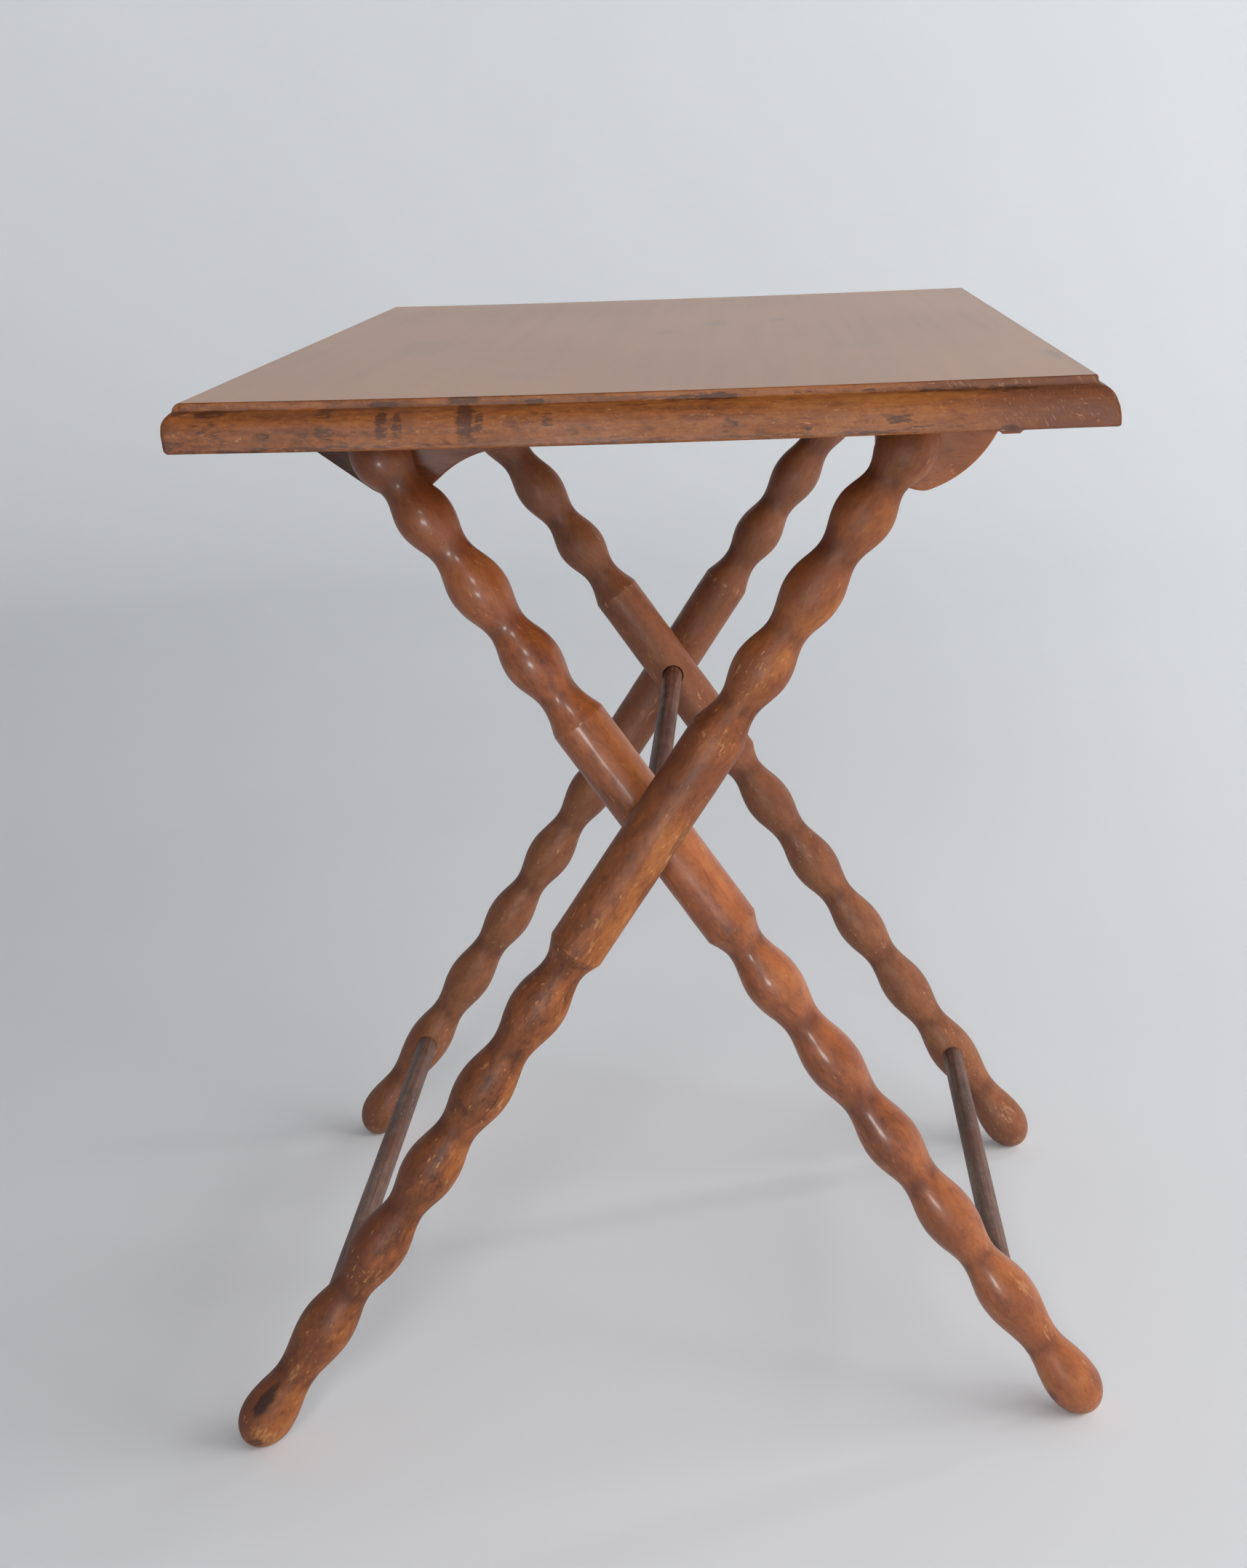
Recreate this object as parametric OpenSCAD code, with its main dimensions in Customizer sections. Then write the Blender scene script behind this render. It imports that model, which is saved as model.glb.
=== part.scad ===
// Folding occasional table: two X frames of bobbin-turned legs, one nested
// inside the other and turning on a centre rod, under a moulded board that
// tilts on the outer frame and drops onto the inner frame's top rod.
// X is the width across the frames, Y runs along the rods, Z is up.
// The origin is on the floor, under the middle of the table.

/* [Table top] */
// Length of the flat of the board, along the rods
top_len = 642; // [560:1:720]
// Width of the flat of the board, across the frames
top_wid = 409; // [380:1:440]
// Thickness of the board
top_th = 22; // [20:0.5:24]
// How far the moulded edge stands out beyond the flat
mould_out = 10; // [8:0.5:12]
// Sideways offset of the board from the line over the centre rod
top_shift = 5.7; // [0:0.1:8]
// Height of the underside of the board above the axes of the top rods
board_rise = 17.5; // [17:0.1:18.5]

/* [Legs] */
// Angle of each leg above the floor, in degrees
leg_angle = 56; // [54:0.5:58]
// Radius of the beads and of the plain middle of a leg
bead_r = 15.5; // [14.5:0.1:15.6]
// Radius at the bottom of the coves between the beads
cove_r = 11; // [9.5:0.1:12.5]
// Distance along a leg from the foot to the centre rod
foot_to_pivot = 432.6; // [430:0.2:435]
// Half distance between the axes of the inner frame's legs
inner_y = 177.5; // [170:0.5:180]
// Half distance between the axes of the outer frame's legs
outer_y = 210; // [210:0.5:220]

/* [Rods] */
// Radius of the centre rod and of the two top rods
rod_r = 6.5; // [6:0.1:7]
// Radius of the two lower rails
rail_r = 7; // [6.5:0.1:7.5]
// Distance along a leg from the foot to the lower rail
foot_to_rail = 89; // [86:0.5:92]
// Depth of a rod's blind socket beyond the axis of the leg
socket_past = 6.5; // [4:0.5:8]

/* [Lugs] */
// Thickness of each lug
lug_th = 18; // [14:0.5:18]
// Depth of each lug below the board
lug_drop = 47; // [44:0.5:48]
// Gap between a lug and the leg beside it
lug_gap = 1; // [0.6:0.1:1.5]

/* [Screws] */
// Radius of a lug screw's shank
screw_r = 1.8; // [1.6:0.1:2]
// Length of a lug screw
screw_len = 38; // [34:1:40]

/* [Fits] */
// Radial clearance of a turning joint
run_gap = 0.1; // [0.05:0.01:0.1]
// Radial glue gap around a fixed rod
glue_gap = 0.05; // [0.03:0.01:0.08]
// Radial clearance around the rod in the seat of a catch lug
seat_gap = 0.5; // [0.4:0.1:0.8]

/* [Hidden] */
$fn = 96;

// Beads and coves, as distances along the leg from the foot
foot_bead = 20;
low_beads = [20, 88, 147.5, 205, 262, 319];
low_coves = [53, 118, 177, 234, 291, 345];
high_coves = [518, 564, 612, 655];
high_beads = [541, 588, 635, 672];
plain_from = 359;
plain_to = 500;
shoulder = 3;
step_r = bead_r - 0.9;

// The rounded foot and the longer, egg-shaped top end
foot_round = 21.1;
crown_round = 20;
leg_len = high_beads[3] + crown_round * 0.98;
// Distance along the leg from the foot to its top rod
top_s = 680;
upper_arm = top_s - foot_to_pivot;

function ease(t) = (1 - cos(180 * t)) / 2;
function wave(s0, r0, s1, r1, n) =
    [for (i = [1:n]) [r0 + (r1 - r0) * ease(i / n), s0 + (s1 - s0) * i / n]];
function foot_pts() =
    [for (i = [0:8]) let (s = foot_bead * i / 8)
        [bead_r * sqrt(1 - pow((foot_bead - s) / foot_round, 2)), s]];
function crown_pts() =
    [for (i = [1:8]) let (a = 78.5 * i / 8)
        [bead_r * cos(a), high_beads[3] + crown_round * sin(a)]];
function low_pts() =
    [for (k = [0:4]) each concat(
        wave(low_beads[k], bead_r, low_coves[k], cove_r, 5),
        wave(low_coves[k], cove_r, low_beads[k + 1], bead_r, 5))];
function high_pts() =
    [for (k = [0:3]) each concat(
        k == 0 ? [] : wave(high_beads[k - 1], bead_r, high_coves[k], cove_r, 5),
        wave(high_coves[k], cove_r, high_beads[k], bead_r, 5))];
leg_profile = concat(
    [[0, 0]], foot_pts(), low_pts(),
    wave(low_beads[5], bead_r, low_coves[5], cove_r, 5),
    wave(low_coves[5], cove_r, plain_from - shoulder, step_r, 4),
    [[bead_r - 0.1, plain_from], [bead_r, plain_to]],
    [[step_r, plain_to + shoulder]],
    wave(plain_to + shoulder, step_r, high_coves[0], cove_r, 5),
    high_pts(), crown_pts(), [[0, leg_len]]);

// The lowest point of a leaning foot sets the height of the centre rod
foot_drop = max([for (p = foot_pts()) p[0] * cos(leg_angle) - p[1] * sin(leg_angle)]);
pivot_z = foot_to_pivot * sin(leg_angle) + foot_drop;
arm_x = upper_arm * cos(leg_angle);
arm_z = pivot_z + upper_arm * sin(leg_angle);
rail_x = (foot_to_pivot - foot_to_rail) * cos(leg_angle);
rail_z = pivot_z - (foot_to_pivot - foot_to_rail) * sin(leg_angle);
under_z = arm_z + board_rise;
top_z = under_z + top_th;

// Lugs: faces nearest the legs
pivot_lug_y = outer_y - bead_r - lug_gap;
catch_lug_y = inner_y - bead_r - lug_gap;
catch_mid = arm_x - 12.5;
screw_head_z = under_z - 24;
screw_top_z = screw_head_z + screw_len;
pivot_screws = [arm_x - 11.8, arm_x + 23.7];
catch_screws = [-catch_mid - 32, -catch_mid + 29];

// Edge of the board: a small fillet, a quirk, then an ovolo to the underside.
// Each point is [outwards from the flat, down from the top].
function edge_pts() = concat(
    [[0, 0], [1.1, 0.4], [1.8, 1.3], [2, 3.4], [2.9, 4.1]],
    [for (i = [1:9]) let (a = 10 * i)
        [2.9 + (mould_out - 2.9) * sin(a), 4.1 + (top_th - 6.1) * (1 - cos(a))]],
    [[mould_out, top_th - 0.8], [mould_out - 0.7, top_th]]);
function board_section(half) = concat(
    [for (p = edge_pts()) [half + p[0], -p[1]]],
    [for (i = [len(edge_pts()) - 1:-1:0]) let (p = edge_pts()[i]) [-half - p[0], -p[1]]]);

// Lug outlines: [x, z], from the pivot for the pivot lug and from the lug's
// own middle for the catch lug, with z down from the board
function arc_pts(cx, cz, r, a0, a1, n) =
    [for (i = [0:n]) let (a = a0 + (a1 - a0) * i / n) [cx + r * cos(a), cz + r * sin(a)]];
pivot_lug_outline = concat(
    [[-18.3, 0], [49, 0]],
    arc_pts(-9.5, 10.5, lug_drop + 12.5, -11, -73, 12),
    arc_pts(7.6, -lug_drop + 25.8, 25.5, -94, -174, 10));
// One side of a catch lug runs out in a hollow tail, the other rises straight
catch_lug_outline = concat(
    arc_pts(-2, -lug_drop + 27.5, 27.5, -90, -48, 6),
    arc_pts(56, -lug_drop - 29.4, 53.5, 131, 100, 6),
    [[58, -21.8], [60, -19.5], [60, 0], [-60, 0], [-60, -9], [-56.5, -13.4]],
    arc_pts(-2, -lug_drop + 27.5, 27.5, -128, -96, 5));

module bore_y(x, z, r, y0, y1) {
    translate([x, y0, z]) rotate([-90, 0, 0]) cylinder(h = y1 - y0, r = r);
}
module rod_y(x, z, r, half_len, tip = 1) {
    translate([x, -half_len, z]) rotate([-90, 0, 0]) rotate_extrude()
        polygon([[0, 0], [r - tip, 0], [r, tip], [r, 2 * half_len - tip],
                 [r - tip, 2 * half_len], [0, 2 * half_len]]);
}

// A turned leg along its own axis, with its holes along Y. side is 1 where
// the table's middle lies towards +Y.
module turned_leg(side, middle_r, middle_through, top_r) {
    difference() {
        rotate_extrude() polygon(leg_profile);
        for (h = [[foot_to_rail, rail_r + glue_gap, false],
                  [foot_to_pivot, middle_r, middle_through],
                  [top_s, top_r, false]])
            bore_y(0, h[0], h[1], h[2] || side < 0 ? -30 : -socket_past,
                   h[2] || side > 0 ? 30 : socket_past);
    }
}
module set_leg(y, lean) {
    translate([0, y, pivot_z]) rotate([0, lean * (90 - leg_angle), 0])
        translate([0, 0, -foot_to_pivot]) children();
}

module outer_leg_front() {
    color("#8a4a2c") set_leg(-outer_y, 1)
        turned_leg(1, rod_r + glue_gap, false, rod_r + glue_gap);
}
module outer_leg_rear() {
    color("#8a4a2c") set_leg(outer_y, 1)
        turned_leg(-1, rod_r + glue_gap, false, rod_r + glue_gap);
}
module inner_leg_front() {
    color("#93502f") set_leg(-inner_y, -1)
        turned_leg(1, rod_r + run_gap, true, rod_r + glue_gap);
}
module inner_leg_rear() {
    color("#93502f") set_leg(inner_y, -1)
        turned_leg(-1, rod_r + run_gap, true, rod_r + glue_gap);
}
module centre_pivot_rod() {
    color("#8b776a") rod_y(0, pivot_z, rod_r, outer_y + socket_past - 0.5);
}
module outer_lower_rail() {
    color("#8b776a") rod_y(-rail_x, rail_z, rail_r, outer_y + socket_past - 0.5);
}
module inner_lower_rail() {
    color("#8b776a") rod_y(rail_x, rail_z, rail_r, inner_y + socket_past - 0.5);
}
module top_pivot_rod() {
    color("#8b776a") rod_y(arm_x, arm_z, rod_r, outer_y + socket_past - 0.5);
}
module catch_rod() {
    color("#8b776a") rod_y(-arm_x, arm_z, rod_r, inner_y + socket_past - 0.5);
}

module table_top() {
    color("#a98f80") difference() {
        translate([top_shift, 0, top_z]) intersection() {
            translate([0, top_len / 2 + 40, 0]) rotate([90, 0, 0])
                linear_extrude(top_len + 80) polygon(board_section(top_wid / 2));
            translate([-top_wid / 2 - 40, 0, 0]) rotate([90, 0, 90])
                linear_extrude(top_wid + 80) polygon(board_section(top_len / 2));
        }
        for (m = [-1, 1]) {
            for (x = pivot_screws)
                translate([x, m * (pivot_lug_y - lug_th / 2), under_z - 1])
                    cylinder(h = screw_top_z - under_z + 1.5, r = screw_r + glue_gap);
            for (x = catch_screws)
                translate([x, m * (catch_lug_y - lug_th / 2), under_z - 1])
                    cylinder(h = screw_top_z - under_z + 1.5, r = screw_r + glue_gap);
        }
    }
}

module screw_holes(xs, y) {
    for (x = xs) translate([x, y, 0]) {
        translate([0, 0, screw_head_z - 40]) cylinder(h = 40, r = 3.9);
        translate([0, 0, screw_head_z - 1]) cylinder(h = under_z - screw_head_z + 2, r = screw_r + glue_gap);
    }
}
module pivot_lug(m) {
    difference() {
        translate([arm_x, m * pivot_lug_y + (m < 0 ? lug_th : 0), under_z])
            rotate([90, 0, 0]) linear_extrude(lug_th) polygon(pivot_lug_outline);
        bore_y(arm_x, arm_z, rod_r + run_gap, m * pivot_lug_y - 30, m * pivot_lug_y + 30);
        screw_holes(pivot_screws, m * (pivot_lug_y - lug_th / 2));
    }
}
// The slot leans inwards as it goes down, along the way the rod leaves it
module catch_lug(m) {
    seat = rod_r + seat_gap;
    difference() {
        translate([-catch_mid, m * catch_lug_y + (m < 0 ? lug_th : 0), under_z])
            rotate([90, 0, 0]) linear_extrude(lug_th) polygon(catch_lug_outline);
        bore_y(-arm_x, arm_z, seat, m * catch_lug_y - 30, m * catch_lug_y + 30);
        translate([-arm_x, m * catch_lug_y - 30, arm_z]) rotate([0, -28.6, 0])
            translate([-seat - 0.9, 0, -60]) cube([2 * seat + 0.9, 60, 60]);
        screw_holes(catch_screws, m * (catch_lug_y - lug_th / 2));
    }
}
module pivot_lug_front() { color("#86492b") pivot_lug(-1); }
module pivot_lug_rear() { color("#86492b") pivot_lug(1); }
module catch_lug_front() { color("#86492b") catch_lug(-1); }
module catch_lug_rear() { color("#86492b") catch_lug(1); }

module lug_screw() {
    rotate_extrude() polygon([[0, 0], [3.6, 0], [3.6, 0.5], [screw_r, 2.6],
        [screw_r, screw_len - 5], [0.4, screw_len], [0, screw_len]]);
}
module lug_screws() {
    color("#6d6a66") for (m = [-1, 1]) {
        for (x = pivot_screws)
            translate([x, m * (pivot_lug_y - lug_th / 2), screw_head_z - 2.7]) lug_screw();
        for (x = catch_screws)
            translate([x, m * (catch_lug_y - lug_th / 2), screw_head_z - 2.7]) lug_screw();
    }
}

table_top();
pivot_lug_front();
pivot_lug_rear();
catch_lug_front();
catch_lug_rear();
lug_screws();
outer_leg_front();
outer_leg_rear();
inner_leg_front();
inner_leg_rear();
centre_pivot_rod();
outer_lower_rail();
inner_lower_rail();
top_pivot_rod();
catch_rod();
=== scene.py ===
import bpy
import bmesh
import math
from mathutils import Matrix, Vector, noise


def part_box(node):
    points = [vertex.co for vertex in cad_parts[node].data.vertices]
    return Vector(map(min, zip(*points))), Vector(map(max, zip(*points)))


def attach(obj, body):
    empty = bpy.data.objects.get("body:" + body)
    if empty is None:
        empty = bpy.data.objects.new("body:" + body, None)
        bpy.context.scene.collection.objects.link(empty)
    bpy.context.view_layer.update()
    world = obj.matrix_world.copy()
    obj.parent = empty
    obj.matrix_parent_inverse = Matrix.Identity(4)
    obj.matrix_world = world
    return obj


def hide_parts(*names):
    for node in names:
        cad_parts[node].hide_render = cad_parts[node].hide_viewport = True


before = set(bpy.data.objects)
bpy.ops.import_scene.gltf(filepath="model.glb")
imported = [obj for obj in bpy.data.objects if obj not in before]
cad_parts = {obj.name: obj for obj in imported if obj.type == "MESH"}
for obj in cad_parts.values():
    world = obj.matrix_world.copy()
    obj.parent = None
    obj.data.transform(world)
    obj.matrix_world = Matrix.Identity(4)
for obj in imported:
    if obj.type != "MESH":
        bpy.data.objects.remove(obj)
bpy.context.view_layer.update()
MM = 0.001
UP = Vector((0, 0, 1))


def srgb(r, g, b):
    """Linear colour for an 8-bit display colour."""
    return tuple(
        (c / 255 / 12.92) if c / 255 <= 0.04045 else ((c / 255 + 0.055) / 1.055) ** 2.4
        for c in (r, g, b)
    )


# ---------------------------------------------------------------- places from the frame
top_lo, top_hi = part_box("table_top")
pivot_lo, pivot_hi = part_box("centre_pivot_rod")
arm_lo, arm_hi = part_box("top_pivot_rod")
catch_lo, catch_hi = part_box("catch_rod")
rail_lo, rail_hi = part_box("inner_lower_rail")
orail_lo, orail_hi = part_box("outer_lower_rail")
pivot = (pivot_lo + pivot_hi) / 2
arm = (arm_lo + arm_hi) / 2
catch = (catch_lo + catch_hi) / 2
rail = (rail_lo + rail_hi) / 2
orail = (orail_lo + orail_hi) / 2
rod_r = (pivot_hi.z - pivot_lo.z) / 2
rail_r = (rail_hi.z - rail_lo.z) / 2
under_z, top_z = top_lo.z, top_hi.z
lean = math.atan2(arm.z - pivot.z, arm.x - pivot.x)   # of the outer legs above the floor
foot_to_pivot = 432.6 * MM


def leg_y(node):
    lo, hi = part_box(node)
    return (lo.y + hi.y) / 2


# ---------------------------------------------------------------- mesh helpers
def to_object(name, verts, faces):
    me = bpy.data.meshes.new(name)
    me.from_pydata([tuple(v) for v in verts], [], faces)
    me.validate()
    me.update()
    ob = bpy.data.objects.new(name, me)
    bpy.context.scene.collection.objects.link(ob)
    return ob


def orient(ob):
    bm = bmesh.new()
    bm.from_mesh(ob.data)
    bmesh.ops.remove_doubles(bm, verts=bm.verts, dist=1e-6)
    bmesh.ops.dissolve_degenerate(bm, dist=1e-6, edges=bm.edges)
    bmesh.ops.recalc_face_normals(bm, faces=bm.faces)
    bm.to_mesh(ob.data)
    bm.free()


def shade(ob, angle=38):
    bm = bmesh.new()
    bm.from_mesh(ob.data)
    limit = math.radians(angle)
    for f in bm.faces:
        f.smooth = True
    for e in bm.edges:
        e.smooth = len(e.link_faces) == 2 and e.calc_face_angle(0) < limit
    bm.to_mesh(ob.data)
    bm.free()


def apply_modifier(ob, kind, **settings):
    m = ob.modifiers.new(kind, kind)
    for k, v in settings.items():
        setattr(m, k, v)
    dg = bpy.context.evaluated_depsgraph_get()
    dg.update()
    made = bpy.data.meshes.new_from_object(ob.evaluated_get(dg))
    ob.modifiers.remove(m)
    old = ob.data
    ob.data = made
    made.name = ob.name
    bpy.data.meshes.remove(old)
    return ob


def cut(ob, cutters):
    """Takes the cutter objects out of ob."""
    for c in cutters:
        apply_modifier(ob, "BOOLEAN", operation="DIFFERENCE", object=c, solver="EXACT")
        me = c.data
        bpy.data.objects.remove(c)
        bpy.data.meshes.remove(me)
    return ob


def lathe(rings, place, segments):
    """rings is [(s, radius or a function of the angle)]; place(s, u, v) gives the point. Closed at both ends."""
    verts, faces = [], []
    for s, r in rings:
        for k in range(segments):
            a = 2 * math.pi * k / segments
            rr = r(a) if callable(r) else r
            verts.append(place(s, rr * math.cos(a), rr * math.sin(a)))
    n = len(rings)
    for i in range(n - 1):
        for k in range(segments):
            a, b = i * segments + k, i * segments + (k + 1) % segments
            faces.append((a, b, b + segments, a + segments))
    for i, sign in ((0, -1), (n - 1, 1)):
        c = Vector((0, 0, 0))
        for k in range(segments):
            c += Vector(verts[i * segments + k])
        verts.append(c / segments)
        for k in range(segments):
            a, b = i * segments + k, i * segments + (k + 1) % segments
            faces.append((a, b, len(verts) - 1) if sign < 0 else (b, a, len(verts) - 1))
    return verts, faces


def cylinder_y(name, x, z, r, y0, y1, segments=56):
    """A cutter along Y."""
    v, f = lathe([(y0, r), (y1, r)], lambda s, u, w: Vector((x + u, s, z + w)), segments)
    ob = to_object(name, v, f)
    orient(ob)
    return ob


def attribute(ob, name, kind, values):
    if name in ob.data.attributes:
        ob.data.attributes.remove(ob.data.attributes[name])
    at = ob.data.attributes.new(name, kind, "POINT")
    if kind == "FLOAT":
        at.data.foreach_set("value", values)
    else:
        at.data.foreach_set("vector", [c for v in values for c in v])


def fbm(p, octaves=3):
    t, a, s = 0.0, 1.0, 0.0
    q = Vector(p)
    for _ in range(octaves):
        t += a * noise.noise(q)
        s += a
        a *= 0.5
        q = q * 2.03
    return t / s


def smooth(a, b, x):
    t = max(0.0, min(1.0, (x - a) / (b - a)))
    return t * t * (3 - 2 * t)


# ---------------------------------------------------------------- materials
class Nodes:
    """Builds a material's node tree with short calls. A socket is an output, and a number or a tuple is a value."""

    def __init__(self, name):
        self.mat = bpy.data.materials.new(name)
        self.mat.use_nodes = True
        self.t = self.mat.node_tree
        self.t.nodes.clear()
        self.out = self.t.nodes.new("ShaderNodeOutputMaterial")
        self.x = 0

    def new(self, kind):
        n = self.t.nodes.new(kind)
        self.x += 40
        n.location = (self.x, 0)
        return n

    def put(self, socket, value):
        if isinstance(value, bpy.types.NodeSocket):
            self.t.links.new(value, socket)
        else:
            if socket.type == "RGBA" and len(value) == 3:
                value = (*value, 1)
            socket.default_value = value

    def math(self, op, a, b=0.0, c=None, clamp=False):
        n = self.new("ShaderNodeMath")
        n.operation, n.use_clamp = op, clamp
        self.put(n.inputs[0], a)
        self.put(n.inputs[1], b)
        if c is not None:
            self.put(n.inputs[2], c)
        return n.outputs[0]

    def vec(self, op, a, b=(0, 0, 0)):
        n = self.new("ShaderNodeVectorMath")
        n.operation = op
        self.put(n.inputs[0], a)
        if op == "SCALE":
            self.put(n.inputs["Scale"], b)
        else:
            self.put(n.inputs[1], b)
        return n.outputs["Value"] if op in ("LENGTH", "DISTANCE", "DOT_PRODUCT") else n.outputs["Vector"]

    def attr(self, name, vector=False):
        n = self.new("ShaderNodeAttribute")
        n.attribute_name = name
        return n.outputs["Vector"] if vector else n.outputs["Fac"]

    def noise(self, vector, scale=1.0, detail=3.0, rough=0.5, distort=0.0):
        n = self.new("ShaderNodeTexNoise")
        self.put(n.inputs["Vector"], vector)
        n.inputs["Scale"].default_value = scale
        n.inputs["Detail"].default_value = detail
        n.inputs["Roughness"].default_value = rough
        n.inputs["Distortion"].default_value = distort
        return n.outputs["Fac"]

    def voronoi(self, vector, scale=1.0, randomness=1.0):
        n = self.new("ShaderNodeTexVoronoi")
        self.put(n.inputs["Vector"], vector)
        n.inputs["Scale"].default_value = scale
        n.inputs["Randomness"].default_value = randomness
        return n.outputs["Distance"]

    def step(self, value, a, b, lo=0.0, hi=1.0):
        """value from a to b, as lo to hi, held between them and eased."""
        n = self.new("ShaderNodeMapRange")
        n.interpolation_type = "SMOOTHSTEP"
        self.put(n.inputs["Value"], value)
        n.inputs["From Min"].default_value = a
        n.inputs["From Max"].default_value = b
        n.inputs["To Min"].default_value = lo
        n.inputs["To Max"].default_value = hi
        return n.outputs["Result"]

    def mix(self, f, a, b, blend="MIX"):
        n = self.new("ShaderNodeMix")
        n.data_type, n.blend_type, n.clamp_factor = "RGBA", blend, True
        self.put(n.inputs[0], f)
        self.put(n.inputs[6], a)
        self.put(n.inputs[7], b)
        return n.outputs[2]

    def ramp(self, f, *stops):
        n = self.new("ShaderNodeValToRGB")
        self.put(n.inputs[0], f)
        e = n.color_ramp.elements
        while len(e) > 1:
            e.remove(e[-1])
        e[0].position, e[0].color = stops[0][0], (*stops[0][1], 1)
        for p, c in stops[1:]:
            k = e.new(p)
            k.color = (*c, 1)
        return n.outputs[0]

    def bump(self, height, distance, strength=1.0, normal=None):
        n = self.new("ShaderNodeBump")
        n.inputs["Strength"].default_value = strength
        n.inputs["Distance"].default_value = distance
        self.put(n.inputs["Height"], height)
        if normal is not None:
            self.put(n.inputs["Normal"], normal)
        return n.outputs[0]

    def finish(self, colour, roughness, normal, metallic=0.0, coat=0.0, coat_rough=0.2, specular=0.4):
        p = self.new("ShaderNodeBsdfPrincipled")
        self.put(p.inputs["Base Color"], colour)
        self.put(p.inputs["Roughness"], roughness)
        self.put(p.inputs["Normal"], normal)
        p.inputs["Metallic"].default_value = metallic
        self.put(p.inputs["Coat Weight"], coat)
        p.inputs["Coat Roughness"].default_value = coat_rough
        p.inputs["Specular IOR Level"].default_value = specular
        self.t.links.new(p.outputs[0], self.out.inputs[0])
        return self.mat


def wood(name, dark, mid, light, worn, stain, streak=(520, 520, 24), broad=0.7, mottle=0.7, lines=0.35,
         fine=0.3, figure=0.04, ring_gap=0.004, centre=(0.03, 0.05), rough=(0.30, 0.46), coat=0.25, coat_rough=0.2,
         bump=0.00016, flecks=0.45, chips=0.66, hollow_dirt_and_shade=0.6, seed=0.0, plum=(0.15, 0.06, 0.04), plumy=0.4,
         specular=0.4):
    """Stained and polished wood. Attribute wood is the place in the plank, with the grain along its third coordinate;
    dirt, pale, hollow and aged are painted by the mesh code, and the aged attribute carries painted shade as well as
    aged finish."""
    m = Nodes(name)
    p = m.vec("ADD", m.attr("wood", True), (seed * 0.731, seed * 0.417, seed * 0.913))

    def sway(value, amount):
        return m.math("MULTIPLY", m.math("SUBTRACT", value, 0.5), amount)

    # tone: broad clouds, mottling, streaks and faint growth rings
    big = m.noise(m.vec("MULTIPLY", p, (16, 16, 9)), 1.0, 3.0, 0.5)
    mot = m.noise(m.vec("MULTIPLY", p, (125, 125, 72)), 1.0, 4.0, 0.66, 0.4)
    st = m.noise(m.vec("MULTIPLY", p, streak), 1.0, 4.0, 0.6)
    fn = m.noise(m.vec("MULTIPLY", p, (streak[0] * 1.1, streak[1] * 1.1, streak[2] * 8.0)), 1.0, 4.0, 0.7)
    flat = m.vec("MULTIPLY", m.attr("wood", True), (1, 1, 0))
    r = m.vec("LENGTH", m.vec("SUBTRACT", flat, (centre[0], centre[1], 0)))
    r = m.math("ADD", r, m.math("MULTIPLY", big, 0.016))
    r = m.math("ADD", r, m.math("MULTIPLY", mot, 0.004))
    saw = m.math("FRACT", m.math("DIVIDE", r, ring_gap))
    late = m.math("MULTIPLY", m.step(saw, 0.3, 0.9), m.step(saw, 1.0, 0.9))
    tone = m.math("ADD", sway(big, broad * 1.6), sway(mot, mottle * 1.2))
    tone = m.math("ADD", tone, sway(st, lines * 1.4))
    tone = m.math("ADD", tone, sway(fn, fine * 1.2))
    tone = m.math("SUBTRACT", tone, m.math("MULTIPLY", late, figure))
    tone = m.math("ADD", tone, 0.5)
    col = m.ramp(tone, (0.05, dark), (0.5, mid), (0.95, light))
    # the stain has gone plum brown in patches
    pl = m.noise(m.vec("MULTIPLY", p, (34, 34, 15)), 1.0, 3.0, 0.55)
    col = m.mix(m.math("MULTIPLY", m.step(pl, 0.46, 0.70), plumy), col, plum)
    # the colour goes plum brown where the finish has aged, and where shade is painted: leg tops, one side of the front
    # outer leg, the catch lugs
    col = m.mix(m.math("MULTIPLY", m.attr("aged_and_shade"), 0.85), col, plum)
    # short dark flecks along the grain
    fl = m.noise(m.vec("MULTIPLY", p, (980, 980, 190)), 1.0, 2.0, 0.5)
    fl = m.math("MULTIPLY", m.step(fl, 0.60, 0.74), flecks)
    col = m.mix(fl, col, (dark[0] * 0.6, dark[1] * 0.55, dark[2] * 0.55))
    # darker in the hollows: dirt gathered there, and painted shade
    hollow = m.attr("hollow")
    hg = m.noise(m.vec("MULTIPLY", p, (120, 120, 60)), 1.0, 3.0, 0.6)
    g = m.math("MULTIPLY", m.math("MULTIPLY", hollow, m.step(hg, 0.25, 0.65)), hollow_dirt_and_shade)
    col = m.mix(g, col, (dark[0] * 0.70, dark[1] * 0.60, dark[2] * 0.56))
    # finish chipped away along the grain, in clusters, and rubbed where pale is painted; on the front outer leg some of
    # that pale is painted light
    pn = m.noise(m.vec("MULTIPLY", p, (520, 520, 150)), 1.0, 3.0, 0.6)
    where = m.noise(m.vec("MULTIPLY", p, (38, 38, 20)), 1.0, 2.0, 0.5)
    chip = m.math("MULTIPLY", m.step(pn, chips, chips + 0.045), m.step(where, 0.44, 0.60))
    chip = m.math("MULTIPLY", chip, m.math("SUBTRACT", 1.0, m.math("MULTIPLY", hollow, 0.85)))
    pale = m.attr("pale")
    rub = m.step(m.math("ADD", pale, sway(pn, 1.7)), 0.36, 0.78)
    rub = m.math("MULTIPLY", rub, m.step(pale, 0.02, 0.25))
    bare = m.math("MAXIMUM", m.math("MULTIPLY", chip, 0.70), m.math("MULTIPLY", rub, 0.62))
    col = m.mix(bare, col, worn)
    # painted stains, broken along the grain
    dirt = m.attr("dirt")
    dn = m.noise(m.vec("MULTIPLY", p, (430, 430, 110)), 1.0, 4.0, 0.65)
    d = m.step(m.math("ADD", dirt, sway(dn, 1.5)), 0.26, 0.92)
    d = m.math("MULTIPLY", d, m.step(dirt, 0.02, 0.3))
    col = m.mix(m.math("MULTIPLY", d, 0.86), col, stain)
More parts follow.
